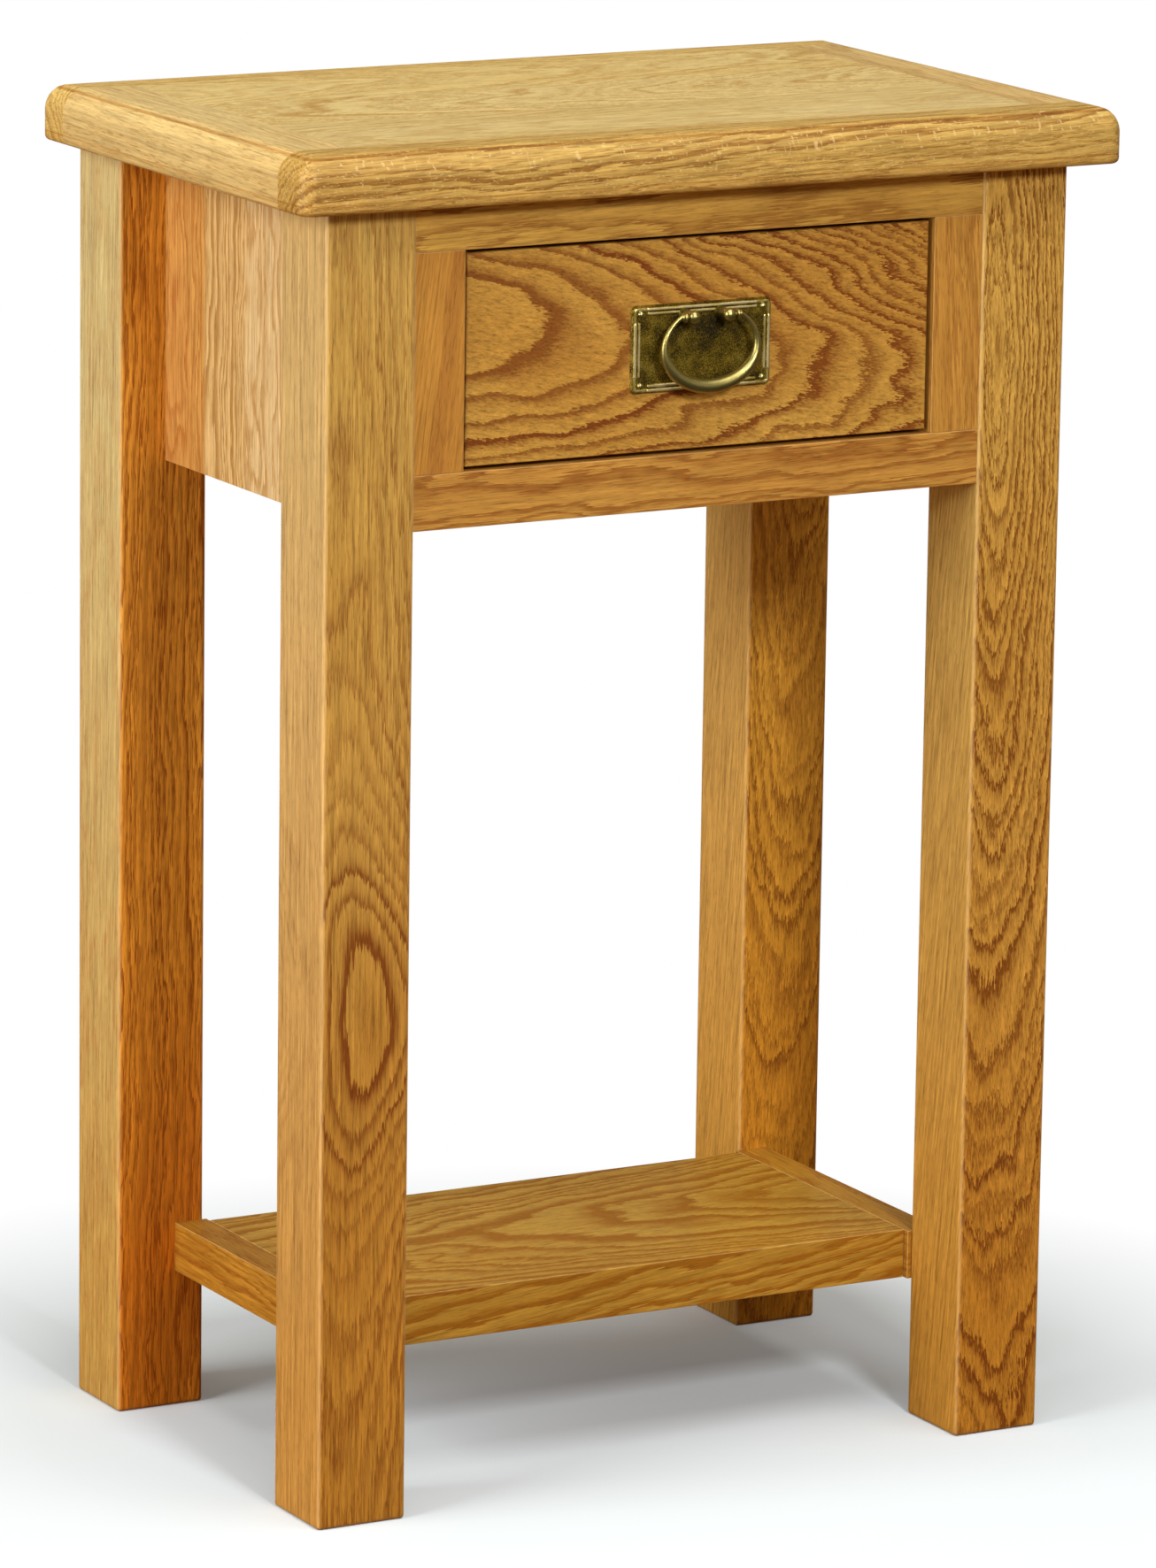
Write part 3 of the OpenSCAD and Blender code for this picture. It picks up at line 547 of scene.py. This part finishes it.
inside_oak = dict(light="#D8BE8E", dark="#B8925A", warm="#CFAF78", contrast=0.7, roughness=0.6)
inside_grain = {
    "drawer_side_left": (0.02, 1, 0.03), "drawer_side_right": (0.02, 1, -0.03),
    "drawer_back": (1, 0, 0.02), "drawer_bottom": (1, 0.02, 0),
    "runner_left": (0, 1, 0), "runner_right": (0, 1, 0),
    "guide_left": (0, 1, 0.02), "guide_right": (0, 1, 0.02),
    "kicker_left": (0, 1, 0), "kicker_right": (0, 1, 0),
    "drawer_stops": (1, 0, 0), "stile_dowels": (0, 0, 1),
}
for seed, (node, along) in enumerate(inside_grain.items(), start=70):
    low, high = node_box(node)
    heart = (low + high) / 2 + np.array([35, 20, -70])
    finish_node(node, oak(node, pith=tuple(heart), along=along, seed=seed, **inside_oak))


# ---------------------------------------------------------------------------------------------
# Zinc plated steel: the screws, and the nuts and washers that hold the handle from inside.
# The plating is a bright grey with a spangle about 1 mm across that clouds its shine.
# ---------------------------------------------------------------------------------------------

zinc = bpy.data.materials.new("zinc_plated_steel")
zinc.use_nodes = True
tree = zinc.node_tree
shader = tree.nodes["Principled BSDF"]
where = add(tree, "TexCoord", out="Object")
spangle = add(tree, "TexNoise", {"Vector": where, "Scale": 0.9 / MM, "Detail": 2.0}, out="Fac")
grey = add(tree, "ValToRGB", {0: spangle}, stops=[(0.3, "#9A9C9C"), (0.7, "#C4C6C4")])
rough = add(tree, "ValToRGB", {0: spangle}, stops=[(0.3, 0.28), (0.7, 0.42)])
tree.links.new(grey, shader.inputs["Base Color"])
tree.links.new(rough, shader.inputs["Roughness"])
shader.inputs["Metallic"].default_value = 1.0
for node in ("guide_screws", "top_screws", "drawer_bottom_screws", "handle_washers", "handle_nuts"):
    finish_node(node, zinc)


# ---------------------------------------------------------------------------------------------
# The handle's plate: thin cast brass with a bead along its edge and a second one inside it,
# chemically darkened, then brushed so that the high places shine again.
# ---------------------------------------------------------------------------------------------

def antique_brass(name, field, brown, gold, grain, metallic):
    """Darkened brass: brown-olive patina, rubbed back to pale gold where "raised" is high.
    A fine grain, about 0.7 mm across and grain strong, stipples the field and breaks up the rubbed
    places, and clouds about 9 mm across make the patina uneven."""
    mat = bpy.data.materials.new(name)
    mat.use_nodes = True
    tree = mat.node_tree
    shader = tree.nodes["Principled BSDF"]
    where = add(tree, "TexCoord", out="Object")
    stipple = add(tree, "TexNoise", {"Vector": where, "Scale": 1.5 / MM, "Detail": 4.0, "Roughness": 0.7})
    cloud = add(tree, "TexNoise", {"Vector": where, "Scale": 0.11 / MM, "Detail": 3.0})
    raised = add(tree, "Attribute", out="Fac", attribute_name="raised")
    grit = add(tree, "Math", {0: stipple, 1: grain, 2: -grain / 2}, operation="MULTIPLY_ADD")
    mist = add(tree, "Math", {0: cloud, 1: grain * 0.4, 2: -grain * 0.2}, operation="MULTIPLY_ADD")
    calm = add(tree, "Math", {0: raised, 1: -0.8, 2: 1.1}, operation="MULTIPLY_ADD", use_clamp=True)
    rubbed = add(tree, "Math", {0: grit, 1: calm, 2: raised}, operation="MULTIPLY_ADD")
    rubbed = add(tree, "Math", {0: rubbed, 1: mist}, operation="ADD", use_clamp=True)
    colour = add(tree, "ValToRGB", {0: rubbed},
                 stops=[(0.0, field), (0.35, brown), (0.65, gold), (1.0, "#F4E4AC")])
    rough = add(tree, "ValToRGB", {0: rubbed}, stops=[(0.0, 0.6), (0.5, 0.36), (1.0, 0.2)])
    pitted = add(tree, "Bump", {"Height": stipple, "Strength": 0.5, "Distance": 0.2 * MM})
    tree.links.new(colour, shader.inputs["Base Color"])
    tree.links.new(rough, shader.inputs["Roughness"])
    tree.links.new(pitted, shader.inputs["Normal"])
    shader.inputs["Metallic"].default_value = metallic
    return mat


def brass_piece(name, points, faces, material, raised, node, body="drawer"):
    """A brass piece in place of its CAD piece. raised says how far each point stands up to the brush."""
    piece = make_piece(name, points, faces, material)
    piece.data.set_sharp_from_angle(angle=math.radians(60))
    piece.data.attributes.new("raised", "FLOAT", "POINT").data.foreach_set("value", raised)
    stands_for(piece, node, body)


plate_low, plate_high = node_box("handle_plate")
plate_mid, plate_half = (plate_low + plate_high) / 2, (plate_high - plate_low) / 2
ear, plate_corner, skirt = 9.0, 3.0, 0.8
sheet_t = plate_high[1] - plate_low[1] - 0.7
outer_at, outer_half = 1.3, 0.95
inner_at, inner_half, inner_up = 3.7, 0.85, 0.7
groove_at, groove_half, groove_deep = 2.5, 0.5, 0.5


def smooth_step(low, high, x):
    """0 below low, 1 above high, 3t^2 - 2t^3 between."""
    t = np.clip((x - low) / (high - low), 0, 1)
    return t * t * (3 - 2 * t)


def plate_height(x, z):
    """How far the plate's face and its beads stand off the wood and off the sheet, in mm: a flat sheet,
    a round bead along the edge, lower at the ears at the corners, a second bead inside it that stops
    short of the ears, and a groove between them. A bead's cross-section is sqrt(1 - s^2), where s is
    the distance from its middle line over its half width."""
    edge_x, edge_z = plate_half[0] - np.abs(x), plate_half[2] - np.abs(z)
    reach = np.maximum(np.maximum(plate_corner - edge_x, 0), np.maximum(plate_corner - edge_z, 0))
    inset = np.where((edge_x < plate_corner) & (edge_z < plate_corner), plate_corner - reach,
                     np.minimum(edge_x, edge_z))
    along = np.where(edge_x < edge_z, edge_z, edge_x)
    side = smooth_step(ear - 0.5, ear + 0.3, along)
    outer = np.sqrt(np.clip(1 - ((inset - outer_at) / outer_half) ** 2, 0, 1)) * (0.45 + 0.4 * side)
    inner = np.sqrt(np.clip(1 - ((inset - inner_at) / inner_half) ** 2, 0, 1)) * inner_up * side
    groove = np.clip(1 - np.abs(inset - groove_at) / groove_half, 0, 1) * groove_deep * side
    bead = np.maximum(outer, inner)
    return sheet_t + bead - groove, bead


def plate_lines(half):
    """Grid lines over the plate: every 0.25 mm across the beads, then wider to the middle."""
    beads = np.arange(0, 5.3, 0.25)
    ears = ear + np.array([-3.0, -2.0, -1.0, -0.6, -0.4, -0.2, 0.0, 0.2, 0.4, 1.0])
    near = np.concatenate([beads, ears])
    field = np.linspace(-half + 12, half - 12, 7)
    return np.unique(np.round(np.concatenate([-half + near, field, half - near]), 4))


# share is 1 on the face and 0 on the wood; the corners are drawn in to quarter circles, and the sides
# lean in by the skirt towards the face
points, quads = box_skin(plate_lines(plate_half[0]), np.linspace(0, 1, 4), plate_lines(plate_half[2]))
share = 1 - points[:, 1]
height, bead = plate_height(points[:, 0], points[:, 2])
past_x = np.maximum(np.abs(points[:, 0]) - plate_half[0] + plate_corner, 0)
past_z = np.maximum(np.abs(points[:, 2]) - plate_half[2] + plate_corner, 0)
square, span = np.maximum(past_x, past_z), np.maximum(np.hypot(past_x, past_z), 1e-9)
round_x = np.sign(points[:, 0]) * (np.abs(points[:, 0]) - past_x + past_x * square / span)
round_z = np.sign(points[:, 2]) * (np.abs(points[:, 2]) - past_z + past_z * square / span)
lean = 1 - skirt * share[:, None] / plate_half[[0, 2]]
plate = np.column_stack([round_x * lean[:, 0], plate_high[1] - share * height,
                         round_z * lean[:, 1] + plate_mid[2]])

# painted shade: the sheet between the posts, 14 mm above the middle, is kept dark for the shade behind
# the posts and the ring's collars; its raised is lowered there, so it takes the dark patina colour
between_posts_z = plate_mid[2] + 14
dark_half_x, dark_half_z = 15, 7
painted_shade_between_posts = np.exp(-(plate[:, 0] / dark_half_x) ** 2 - ((plate[:, 2] - between_posts_z) / dark_half_z) ** 2)
painted_shade_between_posts = painted_shade_between_posts * (bead < 0.05)
plate_raised = 0.30 + 0.95 * bead * (share > 0.99) - 0.35 * painted_shade_between_posts
plate_brass = antique_brass("brass_plate", "#1C1602", "#765F0A", "#AC9638", 3.0, 0.7)
brass_piece("handle_plate_brass", plate, quads, plate_brass, plate_raised, "handle_plate")


# ---------------------------------------------------------------------------------------------
# Four short pins hold the plate at its ears. Their domed heads stand a little proud of the sheet
# and are rubbed bright, as the posts and the ring are.
# ---------------------------------------------------------------------------------------------

def capped_rings(count, sides):
    """Faces over count rings of sides points each, closed at either end by a fan to one more point."""
    i, j = np.meshgrid(np.arange(count - 1), np.arange(sides), indexing="ij")
    a, b = (i * sides + j).ravel(), (i * sides + (j + 1) % sides).ravel()
    faces = np.stack([a, b, b + sides, a + sides], axis=1).tolist()
    first, last, base = count * sides, count * sides + 1, (count - 1) * sides
    faces += [[first, (k + 1) % sides, k] for k in range(sides)]
    faces += [[last, base + k, base + (k + 1) % sides] for k in range(sides)]
    return faces


def turned(profile, centre, axis, sides=32):
    """A turned shape: the profile's (distance along, radius) points swept round an axis through centre.
    The first and last points have radius 0, so it is closed."""
    profile = np.asarray(profile, float)
    axis = np.asarray(axis, float)
    one = np.cross(axis, [0.3, 0.2, 1.0])
    one /= np.linalg.norm(one)
    two = np.cross(axis, one)
    turn = np.linspace(0, 2 * math.pi, sides, endpoint=False)
    spoke = np.cos(turn)[:, None] * one + np.sin(turn)[:, None] * two
    inner = profile[1:-1]
    rings = inner[:, 0, None, None] * axis + inner[:, 1, None, None] * spoke
    ends = profile[[0, -1], :1] * axis
    points = np.concatenate([rings.reshape(-1, 3), ends]) + np.asarray(centre, float)
    return points, capped_rings(len(inner), sides)


def joined(*parts):
    """Several closed shells as one list of points and faces."""
    points, faces, start = [], [], 0
    for part_points, part_faces in parts:
        points.append(part_points)
        faces += [[k + start for k in face] for face in part_faces]
        start += len(part_points)
    return np.concatenate(points), faces


sheet_y = plate_high[1] - sheet_t
pin_low, pin_high = node_box("handle_plate_pins")
pin_r, dome_up, flange_up, pin_inset = 1.75, 1.25, 0.3, 1.7
dome = [(0.0, 0.0), (0.0, pin_r + 0.1), (0.25, pin_r + 0.1)]
dome += [(flange_up + dome_up * math.sin(t), pin_r * math.cos(t))
         for t in np.linspace(0, math.pi / 2, 9)[:-1]]
dome += [(flange_up + dome_up, 0.0)]
pins = joined(*[turned(dome, (x, sheet_y, z), (0, -1, 0), 24)
                for x in (pin_low[0] + pin_inset, pin_high[0] - pin_inset)
                for z in (pin_low[2] + pin_inset, pin_high[2] - pin_inset)])
rubbed_brass = antique_brass("brass_rubbed", "#40380C", "#75682A", "#B2A462", 0.6, 0.95)
brass_piece("handle_pins_brass", *pins, rubbed_brass, np.full(len(pins[0]), 0.7), "handle_plate_pins")


# ---------------------------------------------------------------------------------------------
# Two turned brass posts carry the ring: a foot on the plate, a short neck and a drilled ball. Their
# threaded tails, inside the wood and the nuts, are not drawn. The brush reaches the ball and fades
# down the neck.
# ---------------------------------------------------------------------------------------------

ring_low, ring_high = node_box("handle_ring")
pivot = np.array([0, (ring_low[1] + ring_high[1]) / 2, 0])
post_low, post_high = node_box("handle_post_right")
post_x = (post_low[0] + post_high[0]) / 2
ball_r = pivot[1] - post_low[1]
pivot[2] = (post_low[2] + post_high[2]) / 2
reach = sheet_y - pivot[1]
for side, node in ((-1, "handle_post_left"), (1, "handle_post_right")):
    foot = [(-reach, 0), (-reach, 3.9), (-reach + 0.5, 3.9), (-reach + 1.0, 3.4)]
    neck = [(-reach + 1.6, 3.1), (-2.6, 2.95)]
    ball = [(ball_r * math.sin(t), ball_r * math.cos(t)) for t in np.linspace(-0.62, math.pi / 2, 14)[:-1]]
    post = turned(foot + neck + ball + [(ball_r, 0)], pivot + [side * post_x, 0, 0], (0, -1, 0), 40)
    low_part = (post[0][:, 1] - pivot[1]) / reach
    brass_piece(node + "_brass", *post, rubbed_brass, 0.62 - 0.5 * np.clip(low_part, 0, 1), node)


# ---------------------------------------------------------------------------------------------
# The drop ring: an oval of cast brass that swells to its lowest point, open at the top, with a
# collar and a short pin at each end that turns in the posts' balls.
# ---------------------------------------------------------------------------------------------

def tube(path, radii, sides):
    """A tube: a circle of radius radii[i] carried along path[i], square to the path, and closed at
    both ends by a point. Each circle's axes are the path's side direction and +Y."""
    ahead = np.gradient(path, axis=0)
    ahead /= np.linalg.norm(ahead, axis=1)[:, None]
    up = np.array([0.0, 1.0, 0.0])
    side = np.cross(ahead, up)
    side /= np.linalg.norm(side, axis=1)[:, None]
    turn = np.linspace(0, 2 * math.pi, sides, endpoint=False)
    spoke = np.cos(turn)[None, :, None] * side[:, None] + np.sin(turn)[None, :, None] * up
    rings = path[:, None] + radii[:, None, None] * spoke
    points = np.concatenate([rings.reshape(-1, 3), path[:1], path[-1:]])
    return points, capped_rings(len(path), sides)


# the sweep runs from one collar under the ring to the other; the wire is thin at the collars and
# fills out down the sides, and once more towards the bottom
oval_a, oval_b = 28.5, 21.7
oval_drop = 16.5
thin_r, side_more, low_more = 1.2, 1.25, 1.45
start = math.asin(oval_drop / oval_b) + 0.04
sweep = np.linspace(start, -math.pi - start, 121)
path = np.column_stack([oval_a * np.cos(sweep), 0 * sweep, oval_b * np.sin(sweep) - oval_drop]) + pivot
low_share = np.clip(-np.sin(sweep), 0, 1)
side_share = smooth_step(0, 1, (start - np.maximum(sweep, -math.pi - sweep)) / (start + 0.6))
radii = thin_r + side_more * side_share + low_more * low_share ** 1.5
parts = [tube(path, radii, 24)]
for side in (-1, 1):
    collar_x = post_x + ball_r
    pin = [(-2.0, 0), (-2.0, 1.1), (0.6, 1.1), (0.7, 2.2)]
    collar = [(0.95, 2.7), (1.5, 2.85), (2.05, 2.7), (2.3, 2.1), (2.45, 1.7)]
    bead = [(2.6, 2.1), (2.9, 2.25), (3.3, 2.1), (3.6, 1.3), (4.3, 0.9), (4.6, 0)]
    parts.append(turned(pin + collar + bead, pivot + [side * collar_x, 0, 0], (side, 0, 0), 28))
ring = joined(*parts)
brass_piece("handle_ring_brass", *ring, rubbed_brass, np.full(len(ring[0]), 0.62), "handle_ring", "ring")


# ---------------------------------------------------------------------------------------------
# The studio: a white floor that fades into a white background, a large soft light above, one on the
# left and a smaller one in front. The camera stands at the left of the table's front and looks
# slightly down through a long lens.
# ---------------------------------------------------------------------------------------------

# matt paper, shown near the table with its shadow and pure white from 0.54 m on; what it reflects
# back is warm on the wood and a dull grey in the brass
paper = bpy.data.materials.new("white_paper")
paper.use_nodes = True
tree = paper.node_tree
tree.nodes.clear()
away = add(tree, "VectorMath", {0: add(tree, "TexCoord", out="Object")}, out="Value", operation="LENGTH")
fade = add(tree, "MapRange", {0: away, 1: 0.3, 2: 0.54})
matt = add(tree, "BsdfDiffuse", {"Color": rgb("#D2DADE")})
near = add(tree, "AddShader", {0: matt, 1: add(tree, "Emission", {"Strength": 0.1})})
shown = add(tree, "MixShader", {0: fade, 1: near, 2: add(tree, "Emission", {"Strength": 1.0})})
in_gloss = add(tree, "LightPath", out="Is Glossy Ray")
dull = add(tree, "Mix", {0: in_gloss, 6: rgb("#8C6034"), 7: rgb("#2E2C28")}, out=2, data_type="RGBA")
dull = add(tree, "BsdfDiffuse", {"Color": dull})
both = add(tree, "MixShader", {0: add(tree, "LightPath", out="Is Camera Ray"), 1: dull, 2: shown})
add(tree, "OutputMaterial", {"Surface": both})
bpy.ops.mesh.primitive_plane_add(size=60)
floor = bpy.context.object
floor.name = "floor"
floor.data.materials.append(paper)

world = bpy.data.worlds.new("studio")
bpy.context.scene.world = world
world.use_nodes = True
tree = world.node_tree
tree.nodes.clear()
lit = add(tree, "Background", {"Color": rgb("#FFF1D6"), "Strength": 0.24})
seen = add(tree, "Background", {"Color": rgb("#FFFFFF"), "Strength": 1.0})
both = add(tree, "MixShader", {0: add(tree, "LightPath", out="Is Camera Ray"), 1: lit, 2: seen})
add(tree, "OutputWorld", {"Surface": both})


def soft_light(name, azimuth, elevation, distance, size, watts):
    """A square area light of size m that faces the drawer. Azimuth 0 is in front, 90 on the right."""
    lamp = bpy.data.lights.new(name, "AREA")
    lamp.size, lamp.energy = size, watts
    holder = bpy.data.objects.new(name, lamp)
    bpy.context.scene.collection.objects.link(holder)
    a, e = math.radians(azimuth), math.radians(elevation)
    away = Vector((math.sin(a) * math.cos(e), -math.cos(a) * math.cos(e), math.sin(e)))
    holder.location = Vector((0, 0, 0.5)) + away * distance
    holder.rotation_euler = away.to_track_quat("Z", "Y").to_euler()


soft_light("light_above", azimuth=0, elevation=72, distance=3.0, size=2.4, watts=68)
soft_light("light_left", azimuth=-84, elevation=16, distance=3.4, size=2.0, watts=114)
soft_light("light_front", azimuth=-6, elevation=26, distance=2.6, size=0.4, watts=37)

camera = bpy.data.cameras.new("camera")
camera.lens, camera.sensor_width = 196.4, 36
camera.clip_start, camera.clip_end = 0.1, 100
eye = bpy.data.objects.new("camera", camera)
bpy.context.scene.collection.objects.link(eye)
azimuth, elevation, roll = math.radians(-28.758), math.radians(12.388), math.radians(0.791)
level = math.cos(elevation)
back = Vector((math.sin(azimuth) * level, -math.cos(azimuth) * level, math.sin(elevation)))
right = Vector((math.cos(azimuth), math.sin(azimuth), 0))
up = back.cross(right)
turned_right = right * math.cos(roll) + up * math.sin(roll)
turned_up = up * math.cos(roll) - right * math.sin(roll)
eye.matrix_world = Matrix((turned_right, turned_up, back)).transposed().to_4x4()
eye.location = (-2.236, -4.082, 1.386)
bpy.context.scene.camera = eye
bpy.context.scene.view_settings.view_transform = "Standard"
